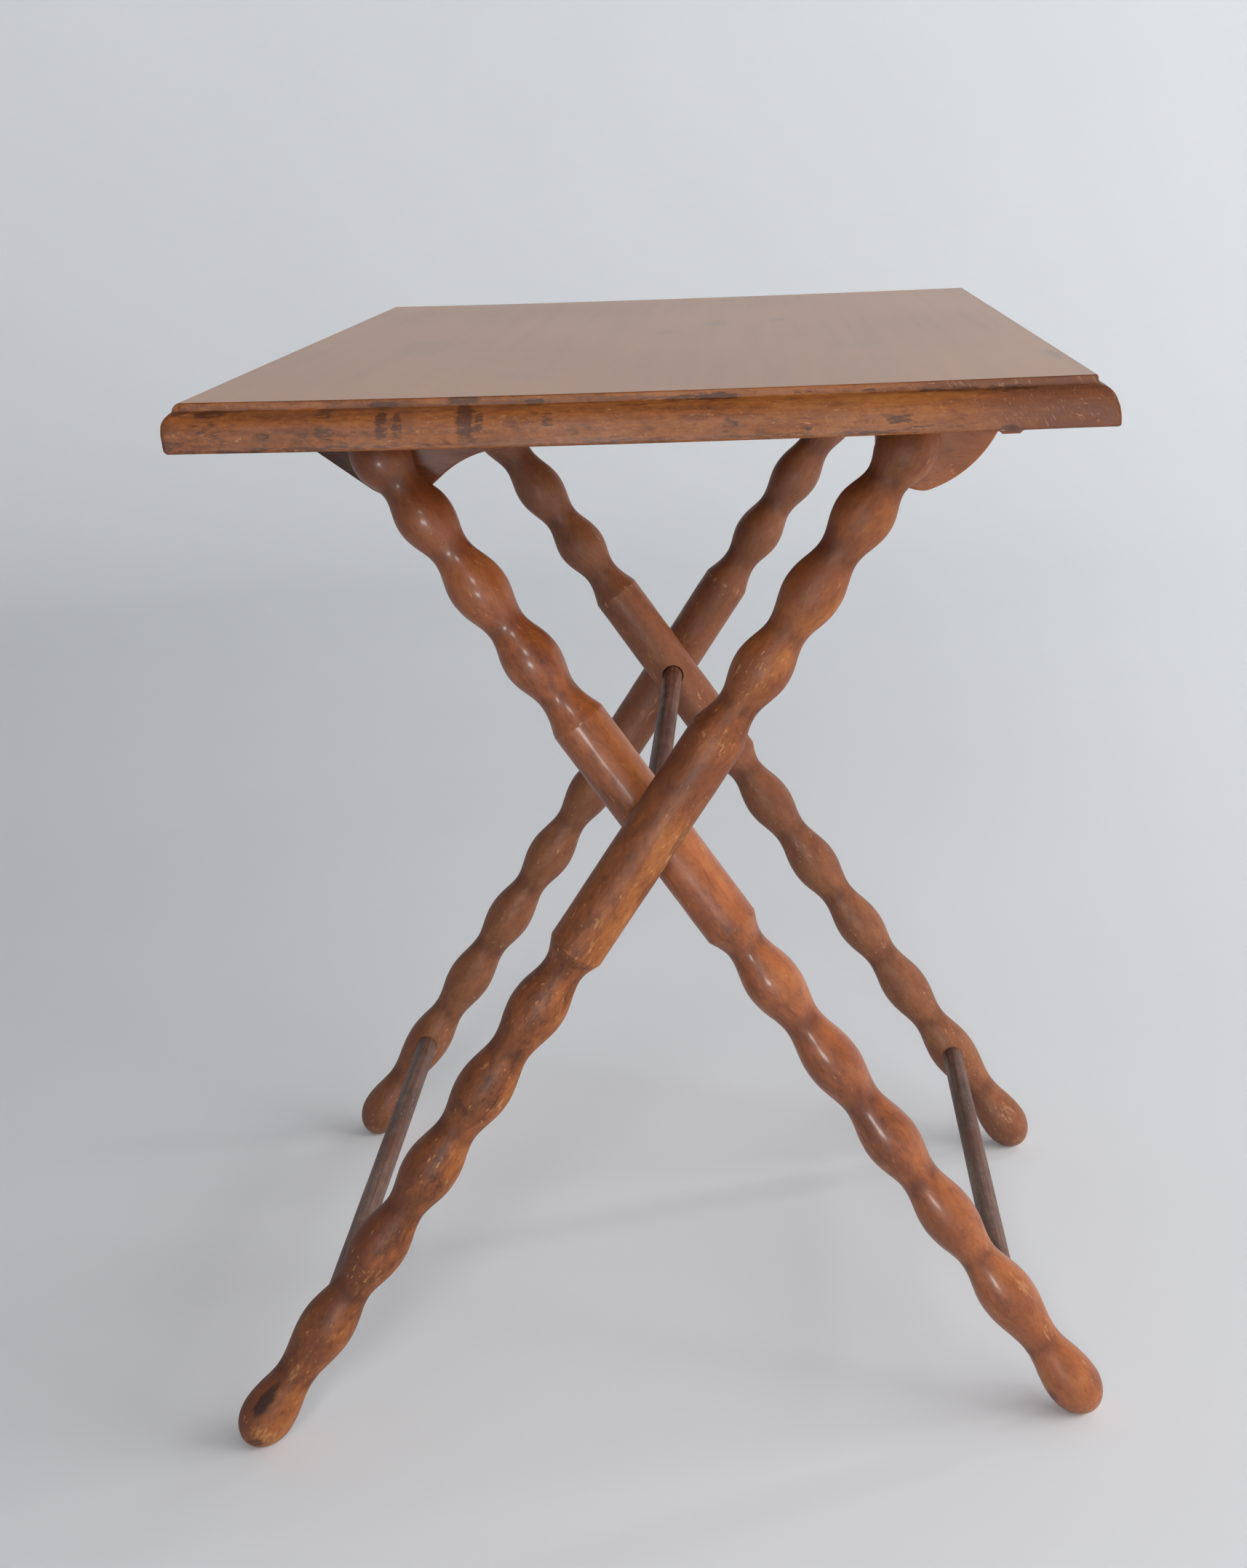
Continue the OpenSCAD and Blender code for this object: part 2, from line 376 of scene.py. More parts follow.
    # roughness: polish is uneven, bare wood and dirt are duller
    rn = m.noise(m.vec("MULTIPLY", p, (70, 70, 30)), 1.0, 4.0, 0.6)
    ro = m.step(rn, 0.28, 0.72, rough[0], rough[1])
    ro = m.math("ADD", ro, m.math("MULTIPLY", bare, 0.25))
    ro = m.math("ADD", ro, m.math("MULTIPLY", d, 0.15))
    ro = m.math("ADD", ro, m.math("MULTIPLY", hollow, 0.05), clamp=True)
    # bump: small knocks, pores and the step down to bare wood
    kn = m.noise(m.vec("MULTIPLY", p, (230, 230, 110)), 1.0, 3.0, 0.55)
    pit = m.step(m.voronoi(m.vec("MULTIPLY", p, (210, 210, 120))), 0.05, 0.22)
    h = m.math("ADD", m.math("MULTIPLY", kn, 0.9), m.math("MULTIPLY", st, 0.25))
    h = m.math("ADD", h, m.math("MULTIPLY", pit, 0.18))
    h = m.math("ADD", h, m.math("MULTIPLY", m.noise(m.vec("MULTIPLY", p, (1000, 1000, 620)), 1.0, 2.0, 0.6), 0.22))
    h = m.math("SUBTRACT", h, m.math("MULTIPLY", fl, 0.25))
    h = m.math("SUBTRACT", h, m.math("MULTIPLY", bare, 0.35))
    nrm = m.bump(h, bump)
    # the polish is thinner where the finish has aged and where shade is painted, and gone where the wood is bare
    film = m.math("SUBTRACT", 1.0, m.math("MULTIPLY", m.attr("aged_and_shade"), 0.75), clamp=True)
    film = m.math("MULTIPLY", m.math("MULTIPLY", film, m.math("SUBTRACT", 1.0, m.math("MULTIPLY", bare, 0.8))), coat)
    return m.finish(col, ro, nrm, coat=film, coat_rough=coat_rough, specular=specular)


def board_wood(name, seed):
    """The board. Attribute calm is 1 on the flat of the top, whose finish has faded and been waxed smooth."""
    m = Nodes(name)
    p = m.vec("ADD", m.attr("wood", True), (seed * 0.731, seed * 0.417, seed * 0.913))
    calm = m.attr("calm")

    def sway(value, amount):
        return m.math("MULTIPLY", m.math("SUBTRACT", value, 0.5), amount)

    st = m.noise(m.vec("MULTIPLY", p, (260, 260, 16)), 1.0, 4.0, 0.6, 0.3)
    fn = m.noise(m.vec("MULTIPLY", p, (800, 800, 240)), 1.0, 3.0, 0.7)
    mot = m.noise(m.vec("MULTIPLY", p, (210, 210, 105)), 1.0, 5.0, 0.72, 0.5)
    big = m.noise(m.vec("MULTIPLY", p, (7, 7, 4)), 1.0, 3.0, 0.5)
    # the moulded edge: golden brown, streaked and mottled
    tone = m.math("ADD", sway(st, 0.85), sway(mot, 1.25))
    tone = m.math("ADD", tone, sway(fn, 0.75))
    tone = m.math("ADD", m.math("ADD", tone, sway(big, 0.7)), 0.5)
    edge = m.ramp(tone, (0.05, srgb(78, 38, 17)), (0.5, srgb(134, 75, 29)), (0.95, srgb(160, 99, 46)))
    pl = m.noise(m.vec("MULTIPLY", p, (60, 60, 24)), 1.0, 3.0, 0.6)
    edge = m.mix(m.math("MULTIPLY", m.step(pl, 0.50, 0.72), 0.42), edge, srgb(104, 60, 38))
    aged_and_shade = m.attr("aged_and_shade")
    an = m.noise(m.vec("MULTIPLY", p, (260, 260, 120)), 1.0, 3.0, 0.6)
    edge = m.mix(m.math("MULTIPLY", aged_and_shade, m.step(an, 0.2, 0.6, 0.45, 0.90)), edge, srgb(104, 58, 38))
    # the flat: an even, faded brown with the faintest streaks and clouds
    grain = m.noise(m.vec("MULTIPLY", p, (150, 150, 4)), 1.0, 3.0, 0.55)
    soft = m.math("ADD", sway(grain, 0.60), sway(big, 0.75))
    soft = m.math("ADD", m.math("ADD", soft, sway(fn, 0.12)), 0.5)
    face = m.ramp(soft, (0.1, srgb(162, 102, 52)), (0.5, srgb(180, 119, 63)), (0.9, srgb(192, 131, 73)))
    col = m.mix(calm, edge, face)
    # painted shade: the cove in the moulding is darkened into a shadow line
    hollow = m.attr("hollow")
    hg = m.noise(m.vec("MULTIPLY", p, (200, 200, 24)), 1.0, 4.0, 0.65)
    g = m.math("MULTIPLY", m.math("MULTIPLY", hollow, m.step(hg, 0.32, 0.60)), 0.80)
    col = m.mix(g, col, srgb(66, 36, 24))
    pn = m.noise(m.vec("MULTIPLY", p, (520, 520, 170)), 1.0, 3.0, 0.6)
    chip = m.math("MULTIPLY", m.step(pn, 0.665, 0.71), m.math("SUBTRACT", 1.0, calm))
    pale = m.attr("pale")
    rub = m.step(m.math("ADD", pale, sway(pn, 1.7)), 0.36, 0.78)
    rub = m.math("MULTIPLY", rub, m.step(pale, 0.02, 0.25))
    bare = m.math("MAXIMUM", m.math("MULTIPLY", chip, 0.5), m.math("MULTIPLY", rub, 0.8))
    col = m.mix(bare, col, srgb(182, 136, 100))
    # fine slanting scratches, most of them where the edge has aged
    slant = m.new("ShaderNodeVectorRotate")
    slant.rotation_type = "Y_AXIS"
    slant.inputs["Angle"].default_value = -0.55
    m.put(slant.inputs["Vector"], p)
    sn = m.noise(m.vec("MULTIPLY", slant.outputs[0], (150, 900, 1700)), 1.0, 2.0, 0.5)
    scratch = m.math("MULTIPLY", m.step(sn, 0.62, 0.70), m.math("ADD", m.math("MULTIPLY", aged_and_shade, 0.26), 0.10))
    scratch = m.math("MULTIPLY", scratch, m.math("SUBTRACT", 1.0, calm))
    col = m.mix(scratch, col, srgb(196, 156, 128))
    dirt = m.attr("dirt")
    dn = m.noise(m.vec("MULTIPLY", p, (760, 760, 170)), 1.0, 4.0, 0.7)
    hard = m.step(m.math("ADD", dirt, sway(dn, 2.9)), 0.30, 0.86)
    hard = m.math("MULTIPLY", m.math("MULTIPLY", hard, m.step(dirt, 0.02, 0.3)), 0.78)
    d = m.math("MULTIPLY", hard, m.math("SUBTRACT", 1.0, calm))
    col = m.mix(d, col, srgb(58, 28, 15))
    # stains on the flat are thin and soft
    dt = m.math("MULTIPLY", m.math("MULTIPLY", dirt, m.step(mot, 0.30, 0.62)), calm)
    col = m.mix(m.math("MULTIPLY", dt, 0.8), col, srgb(88, 66, 58))
    rn = m.noise(m.vec("MULTIPLY", p, (60, 60, 22)), 1.0, 4.0, 0.6)
    ro = m.math("MULTIPLY", m.math("SUBTRACT", 1.0, calm), m.step(rn, 0.28, 0.72, 0.08, 0.24))
    ro = m.math("ADD", m.math("ADD", ro, 0.38), m.math("MULTIPLY", bare, 0.2))
    kn = m.noise(m.vec("MULTIPLY", p, (260, 260, 110)), 1.0, 3.0, 0.55)
    pore = m.noise(m.vec("MULTIPLY", p, (1500, 1500, 60)), 1.0, 2.0, 0.5)
    h = m.math("ADD", m.math("MULTIPLY", kn, 0.9), m.math("MULTIPLY", st, 0.35))
    h = m.math("SUBTRACT", h, m.math("MULTIPLY", bare, 0.3))
    dents = m.noise(m.vec("MULTIPLY", p, (340, 340, 280)), 1.0, 2.0, 0.5)
    h = m.math("ADD", h, m.math("MULTIPLY", m.math("MULTIPLY", dents, aged_and_shade), 1.3))
    h = m.math("SUBTRACT", h, m.math("MULTIPLY", scratch, 0.4))
    rough_h = m.math("MULTIPLY", h, m.math("SUBTRACT", 1.0, m.math("MULTIPLY", calm, 0.985)))
    h = m.math("ADD", rough_h, m.math("MULTIPLY", pore, 0.05))
    nrm = m.bump(h, 0.00026)
    return m.finish(col, ro, nrm, coat=m.math("ADD", m.math("MULTIPLY", calm, 0.34), 0.06), coat_rough=0.3, specular=0.4)


def steel(name):
    m = Nodes(name)
    t = m.new("ShaderNodeTexCoord").outputs["Object"]
    a = m.noise(m.vec("MULTIPLY", t, (900, 900, 900)), 1.0, 4.0, 0.6)
    b = m.noise(m.vec("MULTIPLY", t, (260, 260, 260)), 1.0, 3.0, 0.6)
    rust = m.step(b, 0.50, 0.66)
    col = m.ramp(a, (0.3, srgb(74, 70, 66)), (0.7, srgb(128, 124, 118)))
    col = m.mix(rust, col, srgb(78, 44, 26))
    return m.finish(col, m.step(b, 0.35, 0.65, 0.38, 0.7), m.bump(a, 0.00006), metallic=0.85)


DEEP = srgb(52, 27, 18)
leg_mat_outer = wood("turned_leg_outer", srgb(80, 38, 17), srgb(146, 83, 39), srgb(178, 114, 62), srgb(190, 136, 86),
                     srgb(42, 22, 14), rough=(0.50, 0.64), coat=0.03, coat_rough=0.26, bump=0.00020, chips=0.63,
                     broad=0.75, mottle=1.0, lines=0.10, fine=0.42, flecks=0.35, hollow_dirt_and_shade=0.65, plum=srgb(100, 50, 29),
                     plumy=0.65, seed=1.0)
leg_mat_inner = wood("turned_leg_inner", srgb(90, 42, 21), srgb(149, 83, 43), srgb(176, 108, 61), srgb(190, 136, 94),
                     srgb(48, 25, 15), rough=(0.40, 0.54), coat=0.28, coat_rough=0.16, bump=0.00017, chips=0.65,
                     broad=0.6, mottle=0.85, lines=0.08, fine=0.34, flecks=0.35, hollow_dirt_and_shade=0.65, plum=srgb(102, 46, 22),
                     plumy=0.40, seed=2.0)
leg_mat_dull = wood("turned_leg_dull", srgb(86, 44, 26), srgb(132, 81, 51), srgb(158, 104, 70), srgb(186, 140, 106),
                    srgb(48, 25, 16), rough=(0.46, 0.60), coat=0.06, coat_rough=0.28, bump=0.00018, chips=0.64,
                    broad=0.45, mottle=0.65, lines=0.12, fine=0.36, flecks=0.3, hollow_dirt_and_shade=0.6, plum=srgb(104, 54, 36),
                    plumy=0.45, seed=7.0)
board_mat = board_wood("moulded_board", 3.0)
# the lug's plum brown is near black: the colour of the painted shadow on the catch lugs, and of a few dark patches
lug_mat = wood("lug", srgb(104, 54, 30), srgb(160, 94, 56), srgb(180, 114, 72), srgb(196, 140, 98), srgb(56, 28, 18),
               streak=(420, 420, 18), lines=0.3, broad=0.5, mottle=0.9, figure=0.03, centre=(0.05, -0.10), coat=0.06,
               coat_rough=0.25, rough=(0.42, 0.56), chips=0.64, specular=0.3, plum=srgb(46, 19, 11), plumy=0.2, seed=4.0)
rod_mat = wood("dowel", srgb(64, 44, 36), srgb(106, 78, 66), srgb(140, 113, 98), srgb(166, 142, 125),
               srgb(50, 34, 28), streak=(900, 900, 16), lines=0.9, broad=0.6, figure=0.03, rough=(0.46, 0.62),
               coat=0.02, chips=0.66, plum=srgb(100, 58, 38), plumy=0.6, specular=0.25, seed=5.0)
pin_mat = wood("dark_dowel", srgb(52, 26, 17), srgb(96, 60, 44), srgb(136, 100, 80), srgb(160, 128, 106),
               srgb(34, 18, 12), streak=(900, 900, 16), lines=0.8, broad=0.5, figure=0.03, rough=(0.42, 0.58),
               coat=0.02, chips=0.69, plum=srgb(60, 32, 23), specular=0.1, seed=6.0)
screw_mat = steel("dull_screw_steel")


def give(ob, mat, slot, body, *nodes):
    ob.data.materials.clear()
    ob.data.materials.append(mat)
    for f in ob.data.polygons:
        f.material_index = 0
    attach(ob, body)
    if nodes:
        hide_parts(*nodes)


# ---------------------------------------------------------------- turned legs
FOOT, CROWN = 20.0, 672.0
LOW = [(20, 1), (53, 0), (88, 1), (118, 0), (147.5, 1), (177, 0), (205, 1), (234, 0), (262, 1), (291, 0),
       (319, 1), (345, 0)]
HIGH = [(518, 0), (541, 1), (564, 0), (588, 1), (612, 0), (635, 1), (655, 0), (672, 1)]
BEAD, COVE, BALL_LEN, CROWN_LEN, LEG_LEN = 15.5, 11.0, 21.1, 20.0, 691.6


def profile(s, jig, fat):
    """Radius in mm at s mm from the foot. jig(k) is a small number for bead or cove k, in mm."""
    if s <= FOOT:
        return BEAD * math.sqrt(max(0.0, 1 - ((FOOT - s) / BALL_LEN) ** 2))
    for row, base in ((LOW, 0), (HIGH, 50)):
        if row[0][0] <= s <= row[-1][0]:
            for k in range(len(row) - 1):
                a, b = row[k], row[k + 1]
                if a[0] <= s <= b[0]:
                    ra = (BEAD if a[1] else COVE) + (jig(base + k) if 0 < k + base and a[0] not in (20, 672) else 0)
                    rb = (BEAD if b[1] else COVE) + (jig(base + k + 1) if b[0] not in (20, 672) else 0)
                    t = (s - a[0]) / (b[0] - a[0])
                    # beads are a little fuller than the coves between them
                    w = (1 - math.cos(math.pi * t)) / 2
                    full = 0.06 * math.sin(math.pi * t) ** 2
                    w = w + (full if b[1] else -full)
                    return ra + (rb - ra) * w + fat * 0.5
    if 345 < s < 518:
        j1, j2 = jig(11), jig(50)
        # the cove climbs to the shoulder and meets the plain length at a soft corner
        if s < 359:
            t, j = (s - 345) / 14, j1
        elif s <= 500:
            return 15.45 + fat * 0.5
        else:
            t, j = (518 - s) / 18, j2
        w = (1 - math.cos(0.62 * math.pi * t)) / (1 - math.cos(0.62 * math.pi))
        return COVE + j + (15.45 - COVE - j) * w + fat * 0.5
    t = (s - CROWN) / CROWN_LEN
    return BEAD * math.sqrt(max(0.0, 1 - t * t))


def hollow_of(s):
    """1 at the bottom of a cove or in the corner under a shoulder, 0 on a bead."""
    h = 0.0
    for row in (LOW, HIGH):
        for q, bead in row:
            if not bead:
                h = max(h, 1 - abs(s - q) / 9.0)
    for q in (356.0, 503.0):
        h = max(h, 0.22 - abs(s - q) / 14.0)
    return max(0.0, min(1.0, h))


def make_leg(node, body, sign, seed, mat, fat, bores, marks):
    y = leg_y(node)
    d = Vector((sign * math.cos(lean), 0, math.sin(lean)))      # up the leg
    e1 = Vector((0, 1, 0))
    e2 = d.cross(e1)
    foot = Vector((pivot.x, y, pivot.z)) - d * foot_to_pivot

    def place(s, u, v):
        return foot + d * (s * MM) + e1 * (u * MM) + e2 * (v * MM)

    def jig(k):
        return 0.42 * noise.noise(Vector((seed * 7.3, k * 3.77, 0.5)))

    stops = []
    s = 0.0
    while s < LEG_LEN - 0.2:
        stops.append(s)
        if s < 4 or s > LEG_LEN - 5:
            s += 0.5
        elif 353 < s < 361 or 498 < s < 506:
            s += 0.6
        elif 361 <= s <= 498:
            s += 3.2
        else:
            s += 1.9
    stops.append(LEG_LEN - 0.05)
    rings = []
    for s in stops:
        base = profile(s, jig, fat)

        def r(a, s=s, base=base):
            q = Vector((math.cos(a) * 1.1, math.sin(a) * 1.1, s / 26.0 + seed * 11))
            n = 0.16 * noise.noise(q) + 0.10 * noise.noise(q * 3.1)
            # knocks: shallow flats here and there
            k = noise.noise(Vector((math.cos(a) * 2.2 + seed, math.sin(a) * 2.2, s / 9.0)))
            n -= 0.55 * max(0.0, k - 0.42)
            edge = smooth(2, 30, s) * smooth(0, 20, LEG_LEN - s)
            n = n * edge - 0.12 * (1 - edge)
            return max(0.3, base + n)

        rings.append((s, r))
    verts, faces = lathe(rings, place, 64)
    ob = to_object(node + "_turned", verts, faces)
    orient(ob)
    cutters = [cylinder_y("cut", c[0].x, c[0].z, c[1], c[2], c[3]) for c in bores]
    cut(ob, cutters)
    orient(ob)
    shade(ob, 32)
    wv, hv, pv, dv, av = [], [], [], [], []
    for v in ob.data.vertices:
        v.co.z = max(v.co.z, 0.0)
        q = v.co - foot
        s = q.dot(d) / MM
        u, w = q.dot(e1), q.dot(e2)
        wv.append((u, w, s * MM))
        hv.append(hollow_of(s))
        pale = dirt = aged_and_shade = 0.0
        ang = math.atan2(w, u)
        for kind, s0, a0, ds, da, k in marks:
            t = abs((ang - math.radians(a0) + math.pi) % (2 * math.pi) - math.pi)
            e = math.hypot((s - s0) / ds, t / math.radians(da))
            m = k * (1 - smooth(0.3, 1.0, e))
            if kind == "pale":
                pale = max(pale, m)
            elif kind == "aged_and_shade":
                aged_and_shade = max(aged_and_shade, m)
            else:
                dirt = max(dirt, m)
        # painted shade: the legs are darker towards the top, where the board shades them; the rear legs' finish is
        # darker above 300 mm
        aged_and_shade = max(aged_and_shade, 0.5 * smooth(540, 680, s), 0.28 if "rear" in node and s > 300 else 0.0)
        # painted shade: the front outer leg is darker on its upper left side, turned a little towards the camera
        if node == "outer_leg_front":
            aged_and_shade = max(aged_and_shade, 0.55 * max(0.0, math.cos(ang - math.radians(115))) ** 1.5)
        # feet are rubbed by the floor; shoulders by hands
        pale = max(pale, 0.44 * (1 - smooth(2, 20, s)))
        for q0 in (359.8, 499.2):
            pale = max(pale, (0.32 if sign < 0 else 0.48) * max(0.0, 1 - abs(s - q0) / 1.8))
        pv.append(pale)
        dv.append(dirt)
        av.append(aged_and_shade)
    attribute(ob, "wood", "FLOAT_VECTOR", wv)
    attribute(ob, "hollow", "FLOAT", hv)
    attribute(ob, "pale", "FLOAT", pv)
    attribute(ob, "dirt", "FLOAT", dv)
    attribute(ob, "aged_and_shade", "FLOAT", av)
    give(ob, mat, "leg_wood", body, node)
    return ob


# Angles round a leg: 0 points to +Y, -180 or 180 to the camera side, 90 is the leg's upper or outer side.
gap = 0.10 * MM
legs = {}
for node, side in (("outer_leg_front", -1), ("outer_leg_rear", 1)):
    y = leg_y(node)
    reach = y + side * 6.5 * MM
    back = y - side * 40 * MM
    lo, hi = min(reach, back), max(reach, back)
    bores = [(pivot, rod_r + gap, lo, hi), (arm, rod_r + gap, lo, hi), (orail, rail_r + gap, lo, hi)]
    legs[node] = (1, bores)
for node, side in (("inner_leg_front", -1), ("inner_leg_rear", 1)):
    y = leg_y(node)
    reach = y + side * 6.5 * MM
    back = y - side * 40 * MM
    lo, hi = min(reach, back), max(reach, back)
    bores = [(pivot, rod_r + 0.75 * MM, y - 30 * MM, y + 30 * MM), (catch, rod_r + gap, lo, hi),
             (rail, rail_r + gap, lo, hi)]
    legs[node] = (-1, bores)

marks = {
    # front outer leg: the pale mark at 664 mm is a painted highlight along the crown's lower right edge; the pale marks
    # at 205, 262, 398 and 455 mm, on the lower right side, are partly wear and partly painted light on the lit side
    "outer_leg_front": [("dirt", 34, 150, 20, 28, 0.95), ("dirt", 8, -170, 7, 40, 0.7), ("pale", 14, -165, 14, 60, 0.55),
                        ("pale", 60, 172, 16, 18, 0.50), ("pale", 94, -165, 12, 34, 0.40), ("dirt", 100, 150, 10, 22, 0.40),
                        ("pale", 138, -150, 9, 30, 0.38), ("dirt", 154, 178, 8, 20, 0.48), ("pale", 168, -168, 6, 16, 0.40),
                        ("pale", 431, -122, 5, 14, 0.85), ("pale", 382, 178, 5, 17, 0.72), ("pale", 455, -130, 42, 26, 0.33),
                        ("pale", 398, -138, 30, 26, 0.31),
                        ("pale", 205, -130, 10, 26, 0.5), ("pale", 262, -135, 10, 24, 0.45),
                        ("pale", 664, -98, 26, 10, 0.6)],
    "inner_leg_front": [("pale", 92, -130, 20, 20, 0.52), ("pale", 60, -140, 14, 24, 0.45), ("pale", 118, -120, 16, 20, 0.42),
                        ("dirt", 24, 120, 10, 30, 0.5), ("pale", 440, -170, 10, 20, 0.35)],
    "outer_leg_rear": [("pale", 400, -170, 26, 30, 0.4), ("pale", 88, -160, 12, 40, 0.5)],
    "inner_leg_rear": [("pale", 30, -150, 14, 40, 0.5), ("dirt", 20, -60, 9, 30, 0.55)],
}
for i, (node, (sign, bores)) in enumerate(legs.items()):
    inner = sign < 0
    make_leg(node, "inner_frame" if inner else "outer_frame", sign, i + 1,
             leg_mat_dull if "rear" in node else (leg_mat_inner if inner else leg_mat_outer),
             0.0, bores, marks[node])


# ---------------------------------------------------------------- rods
def make_rod(node, body, mat, seed):
    lo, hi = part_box(node)
    c = (lo + hi) / 2
    r = (hi.z - lo.z) / 2
    y0, y1 = lo.y, hi.y
    stops = [0, 0.00035, 0.0007, 0.001]
    n = int((y1 - y0) / 0.004)
    stops += [0.001 + (y1 - y0 - 0.002) * k / n for k in range(1, n)]
    stops += [(y1 - y0) - t for t in (0.001, 0.0007, 0.00035, 0)]
    rings = []
    for s in stops:
        e = min(s, (y1 - y0) - s)
        base = r - (0.001 - e if e < 0.001 else 0)
        ease = smooth(0.012, 0.05, e)

        def rad(a, s=s, base=base, ease=ease):
            q = Vector((math.cos(a) * 0.9, math.sin(a) * 0.9, s * 22 + seed * 5))
            k = noise.noise(Vector((math.cos(a) * 2, math.sin(a) * 2, s * 90 + seed)))
            return base - ease * (0.00010 * (1 + noise.noise(q)) + 0.0004 * max(0.0, k - 0.45))

        rings.append((s, rad))
    verts, faces = lathe(rings, lambda s, u, v: Vector((c.x + u, y0 + s, c.z + v)), 48)
    ob = to_object(node + "_dowel", verts, faces)
    orient(ob)
    shade(ob, 32)
    attribute(ob, "wood", "FLOAT_VECTOR", [(v.co.x - c.x, v.co.z - c.z, v.co.y) for v in ob.data.vertices])
    nv = len(ob.data.vertices)
    attribute(ob, "hollow", "FLOAT", [0.0] * nv)
    attribute(ob, "pale", "FLOAT", [0.0] * nv)
    # handling dirt near the legs
    attribute(ob, "dirt", "FLOAT", [0.30 * smooth(0.10, 0.02, (hi.y - abs(v.co.y))) for v in ob.data.vertices])
    attribute(ob, "aged_and_shade", "FLOAT", [0.0] * nv)
    give(ob, mat, "rod_wood", body, node)
    return ob


make_rod("centre_pivot_rod", "outer_frame", pin_mat, 1)
make_rod("outer_lower_rail", "outer_frame", rod_mat, 2)
make_rod("inner_lower_rail", "inner_frame", rod_mat, 3)
make_rod("top_pivot_rod", "outer_frame", pin_mat, 4)
make_rod("catch_rod", "inner_frame", pin_mat, 5)


# ---------------------------------------------------------------- lugs
def arc(cx, cz, r, a0, a1, n):
    return [(cx + r * math.cos(math.radians(a0 + (a1 - a0) * i / n)),
             cz + r * math.sin(math.radians(a0 + (a1 - a0) * i / n))) for i in range(n + 1)]


def clean(points):
    out = []
    for p in points:
        if not out or math.hypot(p[0] - out[-1][0], p[1] - out[-1][1]) > 0.4:
            out.append(p)
    return out


def make_lug(node, outline, x0, cuts, seed):
    lo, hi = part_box(node)
    pts = clean(outline)
    n = len(pts)
    verts = [Vector((x0 + x * MM, lo.y, under_z + z * MM)) for x, z in pts]
    verts += [Vector((x0 + x * MM, hi.y, under_z + z * MM)) for x, z in pts]
    faces = [tuple(range(n)), tuple(range(2 * n - 1, n - 1, -1))]
    faces += [(i, (i + 1) % n, n + (i + 1) % n, n + i) for i in range(n)]
    ob = to_object(node + "_sawn", verts, faces)
    orient(ob)
    bm = bmesh.new()
    bm.from_mesh(ob.data)
    # the arrises are eased by hand, apart from those that meet the board
    edges = [e for e in bm.edges
             if len(e.link_faces) == 2 and e.calc_face_angle(0) > 0.5
             and not all(abs(v.co.z - under_z) < 1e-5 for v in e.verts)
             and not (abs(e.verts[0].co.y - e.verts[1].co.y) > 1e-4 and max(v.co.z for v in e.verts) > under_z - 1e-5)]
    bmesh.ops.bevel(bm, geom=edges, offset=0.0011, segments=3, profile=0.5, affect="EDGES")
    bm.to_mesh(ob.data)
    bm.free()
    cut(ob, cuts)
    orient(ob)
    shade(ob, 30)
    nv = []
    for v in ob.data.vertices:
        nv.append((v.co.y, v.co.z - under_z, v.co.x))       # grain runs level, along X
    attribute(ob, "wood", "FLOAT_VECTOR", nv)
    attribute(ob, "hollow", "FLOAT", [smooth(0.006, 0.0, under_z - v.co.z) * 0.9 for v in ob.data.vertices])
    attribute(ob, "pale", "FLOAT", [0.35 * smooth(0.030, 0.045, under_z - v.co.z) for v in ob.data.vertices])
    attribute(ob, "dirt", "FLOAT", [0.0] * len(nv))
    catch_lug = "catch" in node
    av = []
    for v in ob.data.vertices:
        # darker within 20 mm of the board
        a = 0.5 * smooth(0.020, 0.0, under_z - v.co.z)
        # painted shadow: the catch lugs are darkened all over, most of all at their left end
        if catch_lug:
            a = max(a, 0.42, 1.05 * smooth(0.004, -0.020, v.co.x - x0))
        av.append(a)
    attribute(ob, "aged_and_shade", "FLOAT", av)
    give(ob, lug_mat, "lug_wood", "top", node)
    return ob


